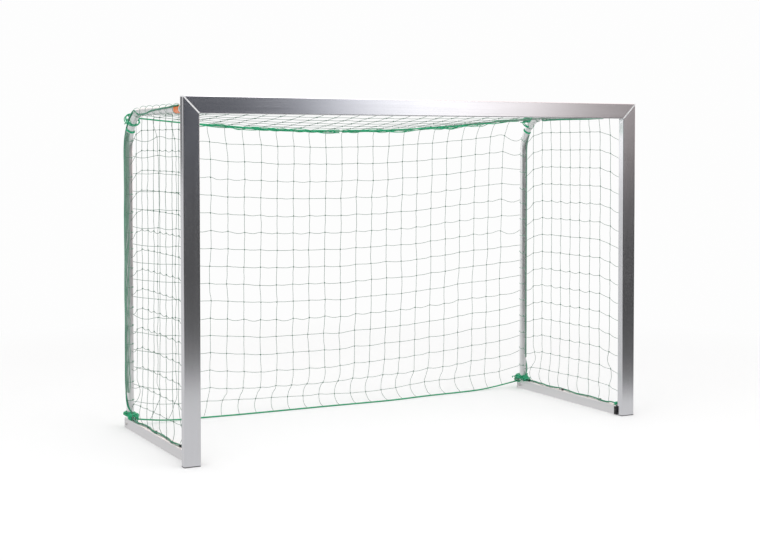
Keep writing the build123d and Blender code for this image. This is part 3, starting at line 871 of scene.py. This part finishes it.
def make_edge_rope(name, side):
    """The net's edge rope along the hoop, down to its foot and forward along the rail.

    On the right hoop's top it runs on the inner side, so it clears the crossbar's hooks when folded.
    """
    rope = Strands()
    points = []
    shares = np.linspace(0.055, 0.93, 34)
    for share in shares:
        centre, direction = along_hoop(side, share)
        out, up = (1.0, 1.5 - 8.0 * share) if share < 0.32 else (1.0, 0.75)
        if side > 0 and share < 0.32:
            out, up = -0.6, -1.0
        up += 0.12 * math.sin(share * 41) + rng.normal(0, 0.05)
        skin = tube_side(centre, direction, side, out, up)
        out = (skin - centre) / np.linalg.norm(skin - centre)
        points.append(centre + out * (HOOP_R + EDGE_ROPE / 2 + 0.0005))
    foot = np.array((side * (HOOP_X - 0.002), HOOP_REAR - 0.032, RAIL_TOP + 0.030))
    points += [np.array((side * (HOOP_X + 0.020), HOOP_REAR - 0.014, RAIL_TOP + 0.075)), foot]
    rope.tube(smooth_path(points, 5), EDGE_ROPE / 2, **EDGE_TWIST)
    rail = []
    for y in np.linspace(HOOP_REAR - 0.045, RAIL_LOW.y + 0.015, 22):
        x = side * (HOOP_X + 0.007 * math.sin(y * 23) + rng.normal(0, 0.002))
        rail.append((x, y, RAIL_TOP + EDGE_ROPE / 2 + abs(rng.normal(0, 0.0012))))
    rope.tube(smooth_path(rail, 5), EDGE_ROPE / 2, **EDGE_TWIST)
    return rope.build(f"edge_rope_{name}", EDGE_GREEN)


def make_selvedge(name, side):
    """The net's gathered edge: cords that run down the outer face of the hoop's upright, side by side."""
    cords = Strands()
    for strand in range(SELVEDGE_CORDS):
        points = []
        for share in np.linspace(0.385, 0.945, 40):
            centre, direction = along_hoop(side, share)
            angle = -0.35 + 0.31 * strand + 0.11 * math.sin(share * (55 + 9 * strand) + 2 * strand)
            skin = tube_side(centre, direction, side, math.cos(angle), -math.sin(angle))
            out = (skin - centre) / np.linalg.norm(skin - centre)
            points.append(centre + out * (HOOP_R + SELVEDGE / 2))
        cords.tube(smooth_path(points, 3), SELVEDGE / 2, around=8)
    return cords.build(f"selvedge_{name}", LACE_GREEN)


def tangle(out, centre, axis, radius, width, turns, cord, wild):
    """A lashing: turns of cord round a tube that run to and fro and cross each other.

    Whatever lies inside the hoop's plane stays below the crossbar, so the net frame can fold behind it.
    """
    axis = np.asarray(axis, float) / np.linalg.norm(axis)
    first = np.cross(axis, (0.2, 0.9, 0.3))
    first /= np.linalg.norm(first)
    second = np.cross(axis, first)
    angle = np.linspace(0, turns * 2 * math.pi, int(turns * 14))
    phase = rng.uniform(0, 6, 4)
    along = width / 2 * (0.7 * np.sin(angle / 5.1 + phase[0]) + 0.45 * np.sin(angle * 0.93 + phase[1]))
    stray = wild * (1 + np.sin(angle * 1.7 + phase[2])) / 2
    layer = cord * (0.55 + 0.9 * np.linspace(0, 1, len(angle)) + stray)
    path = (
        np.asarray(centre)
        + (radius + layer)[:, None] * (np.cos(angle)[:, None] * first + np.sin(angle)[:, None] * second)
        + along[:, None] * axis
    )
    inside = abs(path[:, 0]) - HOOP_X + HOOP_R + 0.003
    path[:, 2] = np.minimum(path[:, 2], BAR_BOTTOM - 0.006 + 6 * np.maximum(inside, 0))
    out.tube(smooth_path(path, 2), cord / 2, **LASH_TWIST)
    return path[-1]


def loose_end(out, start, drift, length, cord, droop=0.4):
    """A short free end of cord that droops, with a melted tip."""
    drift = np.asarray(drift, float) / np.linalg.norm(drift)
    t = np.linspace(0, 1, 7)[:, None]
    path = np.asarray(start) + drift * length * t + np.array((0, 0, -1)) * droop * length * t**2
    path[1:-1] += rng.normal(0, cord * 0.5, (5, 3))
    path[:, 2] = np.maximum(path[:, 2], cord / 2)
    path = smooth_path(path, 4)
    out.tube(path, cord / 2, **LASH_TWIST)
    out.knot(path[-1], cord * 0.55, (0, 0, 0))


def lash_foot(lash, side):
    """The lashing where the hoop's foot, the rail and the bottom rope meet."""
    foot = (side * HOOP_X, HOOP_REAR + 0.004, RAIL_TOP + 0.022)
    end = tangle(lash, foot, (0, 0, 1), HOOP_R, 0.022, 6, LASH, 1.4)
    ahead = (side * HOOP_X, HOOP_REAR - 0.035, RAIL_TOP + 0.010)
    tangle(lash, ahead, (0.15 * side, 1, 0.35), 0.006, 0.045, 9, LASH, 1.8)
    inside = (side * (HOOP_X - 0.024), HOOP_REAR + 0.008, RAIL_TOP + 0.008)
    tangle(lash, inside, (0.4, 0.7, 0.5), 0.008, 0.03, 8, LASH, 2.0)
    loose_end(lash, end, (-side * 0.5, 0.4, 0.1), 0.035, LASH)
    loose_end(lash, foot + np.array((side * 0.02, 0.0, 0.01)), (side, -0.3, 0.3), 0.016, LASH)


def lash_bend(lash, side):
    """The lashing that ties the top rope to the hoop's bend, and two turns round the tube below it."""
    rope_x, rope_depth, rope_z = TOP_ROPE[0 if side < 0 else -1]
    rope_end = np.array((rope_x, FRONT + rope_depth, rope_z))
    turn = math.atan2(rope_end[1] - (HOOP_REAR - HOOP_BEND), rope_end[2] - (HOOP_TOP - HOOP_BEND))
    centre, direction = along_hoop(side, share_on_bend(turn))
    tangle(lash, (centre + rope_end) / 2, direction, 0.030, 0.018, 3, LASH, 1.0)
    inside = rope_end + np.array((-side * 0.012, 0.0, -0.002))
    end = tangle(lash, inside, (1, 0.1, 0.1), 0.005, 0.045, 8, LASH, 1.6)
    tangle(lash, rope_end + np.array((0.0, -0.03, 0.008)), (0.1, 1, -0.3), 0.005, 0.05, 6, LASH, 1.2)
    centre, direction = along_hoop(side, share_on_bend(turn + 0.22))
    turns = ring_path(centre, direction, HOOP_R + LASH / 2, 0.004, 2.0, 24, rise=LASH)
    lash.tube(turns, LASH / 2, **LASH_TWIST)
    if side < 0:
        loose_end(lash, end, (-0.55, 0.75, -0.55), 0.05, LASH, 0.3)


def make_lashings(name, side):
    """The lashings of one net frame: at the hoop's foot, at its bend and at the rail's front end."""
    lash = Strands()
    lash_foot(lash, side)
    lash_bend(lash, side)
    front = (side * HOOP_X, RAIL_LOW.y + 0.02, RAIL_TOP + 0.006)
    tangle(lash, front, (0, 1, 0.2), 0.004, 0.022, 4, LASH * 0.8, 1.0)
    return lash.build(f"lashings_{name}", LASH_GREEN)


def make_bunch(name, path, x_range):
    """Net cord bunched round the top rope: slack meshes that were drawn together along it."""
    bunch = Strands()
    low, high = x_range
    for strand in range(7):
        phase = rng.uniform(0, 6, 3)
        reach = 0.005 + 0.0013 * strand
        points = []
        for x in np.arange(low, high, 0.02):
            centre = at_x(path, x)
            wander = reach * (0.75 + 0.25 * math.sin(x * 11 + phase[2]))
            turn = x * (9 + 2.3 * strand) + phase[0] + 1.2 * math.sin(x * 7 + phase[1])
            hang = 0.006 * math.exp(-(((x - 0.62) / 0.33) ** 2)) * (strand / 6)
            up = math.sin(turn) * wander - 0.002 - hang
            points.append(centre + np.array((0, math.cos(turn) * wander, up)))
        bunch.tube(smooth_path(points, 3), CORD * 0.8, around=7)
    return bunch.build(name, LASH_GREEN)


def spread_over_fold(obj):
    """Bakes the net piece's placement into its mesh; the piece stays on no body."""
    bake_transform(obj)


def half_keeper(side):
    """Tells which cords of the main net belong to one half."""
    return lambda points: side * points[:, 0].mean() > (-1e-4 if side < 0 else 1e-4)


def make_rope_half(name, path, side, label):
    """Half of a rear rope, from its lashing on the net frame to the goal's middle plane."""
    middle = at_x(path, 0.0)
    own = path[side * path[:, 0] > 1e-4]
    half = np.vstack([own, middle]) if side < 0 else np.vstack([middle, own])[::-1]
    rope = Strands()
    rope.tube(smooth_path(half, 3), ROPE / 2, around=12, strands=3, lay=0.028)
    piece = rope.build(f"{label}_{name}", ROPE_GREEN)
    spread_over_fold(piece)
    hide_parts(label)
    return piece


def make_net_and_ropes():
    """All of the net, its ropes and its lashings; the hoop lacing, selvedge, edge rope and lashings go on
    their net frame's body.
    """
    top_path, bottom_path = rope_curve(TOP_ROPE), rope_curve(BOTTOM_ROPE)
    main = make_main_net(top_path, bottom_path)
    for name, side in SIDES:
        body = f"{name}_net_frame"
        half = Strands()
        main.strands(half, half_keeper(side))
        piece = half.build(f"net_top_and_back_{name}", NET_GREEN)
        spread_over_fold(piece)
        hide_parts("net_top", "net_back")
        make_rope_half(name, top_path, side, "rope_top_rear")
        make_rope_half(name, bottom_path, side, "rope_bottom_rear")
        reach = (-0.86, 0.0) if side < 0 else (0.0, 1.17)
        bunch = make_bunch(f"net_bunch_{name}", top_path, reach)
        spread_over_fold(bunch)
        net = Strands()
        make_side_net(side).strands(net)
        piece = net.build(f"net_side_{name}", NET_GREEN)
        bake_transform(piece)
        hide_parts(f"net_{name}")
        for piece, slot in (
            (make_hoop_lacing(name, side), "net_green"),
            (make_selvedge(name, side), "net_green"),
            (make_edge_rope(name, side), "rope_green"),
            (make_lashings(name, side), "rope_green"),
        ):
            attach(piece, body)


# ---- stage and camera


BACKDROP = (0.985, 0.985, 0.985, 1)


def value_node(nodes, links, operation, a, b=None, clamp=False):
    made = nodes.new("ShaderNodeMath")
    made.operation = operation
    made.use_clamp = clamp
    for socket, value in zip(made.inputs, (a, b)):
        if value is None:
            continue
        if isinstance(value, (int, float)):
            socket.default_value = value
        else:
            links.new(value, socket)
    return made.outputs["Value"]


def make_reflections(nodes, links):
    """What metal sees: a dark studio in front with one soft light in it, and white behind and above."""
    place = nodes.new("ShaderNodeTexCoord")
    split = nodes.new("ShaderNodeSeparateXYZ")
    links.new(place.outputs["Generated"], split.inputs["Vector"])
    x, y, z = (split.outputs[c] for c in "XYZ")

    def maths(operation, a, b=None, clamp=False):
        return value_node(nodes, links, operation, a, b, clamp)

    azimuth = maths("ARCTAN2", x, maths("MULTIPLY", y, -1.0))

    def beam(centre, half_width, power):
        """1 in one compass direction, falling to a half at half_width degrees from it."""
        off = maths("DIVIDE", maths("SUBTRACT", azimuth, math.radians(centre)), math.radians(half_width))
        return maths("EXPONENT", maths("MULTIPLY", maths("POWER", maths("ABSOLUTE", off), power), -0.693))

    core, halo = beam(31.0, 4.2, 3.2), beam(38.5, 5.0, 2.0)
    glow = maths("ADD", maths("MULTIPLY", core, 1.7), maths("MULTIPLY", halo, 0.2))
    above = maths("MULTIPLY", maths("ADD", z, 0.035), 18.0, clamp=True)
    softbox = maths("MULTIPLY", glow, above)
    screen = maths("MULTIPLY", beam(-163.0, 11.0, 6.0), 0.9)
    behind = maths("MULTIPLY", maths("ADD", y, 0.45), 1.6, clamp=True)
    screened = maths("MULTIPLY", behind, maths("SUBTRACT", 1.0, screen))
    ceiling = maths("MULTIPLY", maths("SUBTRACT", z, 0.25), 1.5, clamp=True)
    bright = maths("MULTIPLY", maths("MAXIMUM", screened, ceiling), 1.2)
    level = maths("ADD", maths("ADD", bright, softbox), 0.08)
    turned = maths("SUBTRACT", azimuth, math.radians(12.0))
    across = maths("DIVIDE", turned, math.radians(27.0), clamp=True)
    neutral, cool, warm = (1.0, 1.0, 1.0), (0.88, 0.94, 1.12), (1.10, 0.96, 0.93)
    tones = [(0.0, neutral), (0.25, cool), (0.38, cool), (0.68, neutral), (1.0, warm)]
    glossy = nodes.new("ShaderNodeBackground")
    links.new(ramp(nodes, links, across, tones), glossy.inputs["Color"])
    links.new(level, glossy.inputs["Strength"])
    return glossy.outputs["Background"]


def make_world():
    """Even white light for matt surfaces, a pale backdrop for the camera, and a studio for reflections."""
    world = bpy.data.worlds.new("studio")
    bpy.context.scene.world = world
    world.use_nodes = True
    world.cycles.sampling_method = "NONE"
    nodes, links = world.node_tree.nodes, world.node_tree.links
    nodes.clear()
    matt = nodes.new("ShaderNodeBackground")
    matt.inputs["Color"].default_value = (1.0, 1.0, 1.0, 1)
    matt.inputs["Strength"].default_value = 0.95
    backdrop = nodes.new("ShaderNodeBackground")
    backdrop.inputs["Color"].default_value = BACKDROP
    kind = nodes.new("ShaderNodeLightPath")
    inner, outer = nodes.new("ShaderNodeMixShader"), nodes.new("ShaderNodeMixShader")
    links.new(kind.outputs["Is Glossy Ray"], inner.inputs["Fac"])
    links.new(matt.outputs["Background"], inner.inputs[1])
    links.new(make_reflections(nodes, links), inner.inputs[2])
    links.new(kind.outputs["Is Camera Ray"], outer.inputs["Fac"])
    links.new(inner.outputs["Shader"], outer.inputs[1])
    links.new(backdrop.outputs["Background"], outer.inputs[2])
    output = nodes.new("ShaderNodeOutputWorld")
    links.new(outer.outputs["Shader"], output.inputs["Surface"])


def fade_to_backdrop(nodes, links, shader, place):
    """The floor's pale surface, which turns into the backdrop's white some metres from the goal."""
    length = nodes.new("ShaderNodeVectorMath")
    length.operation = "LENGTH"
    links.new(place.outputs["Object"], length.inputs[0])
    past = value_node(nodes, links, "SUBTRACT", length.outputs["Value"], 2.4)
    backdrop = nodes.new("ShaderNodeEmission")
    backdrop.inputs["Color"].default_value = BACKDROP
    fading = nodes.new("ShaderNodeMixShader")
    links.new(value_node(nodes, links, "MULTIPLY", past, 0.5, True), fading.inputs["Fac"])
    links.new(shader.outputs["BSDF"], fading.inputs[1])
    links.new(backdrop.outputs["Emission"], fading.inputs[2])
    return fading.outputs["Shader"]


def floor_seen_by_metal(nodes, links, place):
    """What metal sees of the floor: bright near the goal, dark further out in front and to its right."""
    split = nodes.new("ShaderNodeSeparateXYZ")
    links.new(place.outputs["Object"], split.inputs["Vector"])
    right = value_node(nodes, links, "MAXIMUM", split.outputs["X"], 0.0)
    aside = value_node(nodes, links, "MULTIPLY", right, 0.9)
    away = value_node(nodes, links, "SUBTRACT", aside, split.outputs["Y"])
    reach = value_node(nodes, links, "DIVIDE", away, 8.0, True)
    tones = [(0.27, 0.68), (0.33, 0.48), (0.40, 0.25), (0.54, 0.14), (0.9, 0.08)]
    level = ramp(nodes, links, reach, [(share, (tone,) * 3) for share, tone in tones])
    mirrored = nodes.new("ShaderNodeEmission")
    links.new(level, mirrored.inputs["Color"])
    return mirrored.outputs["Emission"]


def make_floor():
    """Pale floor under the goal, with its own look in reflections."""
    size = 60.0
    corners = [(-size, -size, 0), (size, -size, 0), (size, size, 0), (-size, size, 0)]
    look = Look("studio_floor")
    nodes, links = look.nodes, look.links
    look.set("Base Color", (0.93, 0.93, 0.93, 1))
    look.set("Roughness", 0.8)
    look.set("Specular IOR Level", 0.1)
    place = nodes.new("ShaderNodeTexCoord")
    kind = nodes.new("ShaderNodeLightPath")
    last = nodes.new("ShaderNodeMixShader")
    links.new(kind.outputs["Is Glossy Ray"], last.inputs["Fac"])
    links.new(fade_to_backdrop(nodes, links, look.shader, place), last.inputs[1])
    links.new(floor_seen_by_metal(nodes, links, place), last.inputs[2])
    links.new(last.outputs["Shader"], nodes["Material Output"].inputs["Surface"])
    new_object("studio_floor", corners, [(0, 1, 2, 3)], look.material, smooth=False)


def make_lights():
    """One large soft light overhead, for the faint shadow under the goal."""
    lamp = bpy.data.lights.new("overhead", "AREA")
    lamp.shape = "RECTANGLE"
    lamp.size, lamp.size_y = 5.0, 4.0
    lamp.energy = 60.0
    holder = bpy.data.objects.new("overhead", lamp)
    holder.location = (-0.8, -1.6, 4.6)
    holder.rotation_euler = (Vector((0, 0, 0.6)) - holder.location).to_track_quat("-Z", "Y").to_euler()
    bpy.context.scene.collection.objects.link(holder)


def make_camera():
    """The camera, in front of the goal and to its left. The shift moves the goal to the frame's middle."""
    data = bpy.data.cameras.new("camera")
    data.sensor_width = 36.0
    data.lens = 63.89
    data.shift_y = -0.12
    camera = bpy.data.objects.new("camera", data)
    camera.location = (-3.370, FRONT - 5.7345, 1.452)
    camera.rotation_euler = (math.radians(90 - 1.803), 0, math.radians(-28.328))
    bpy.context.scene.collection.objects.link(camera)
    bpy.context.scene.camera = camera


bpy.context.scene.view_settings.view_transform = "Standard"
dress_cad_nodes()
make_net_and_ropes()
make_world()
make_floor()
make_lights()
make_camera()
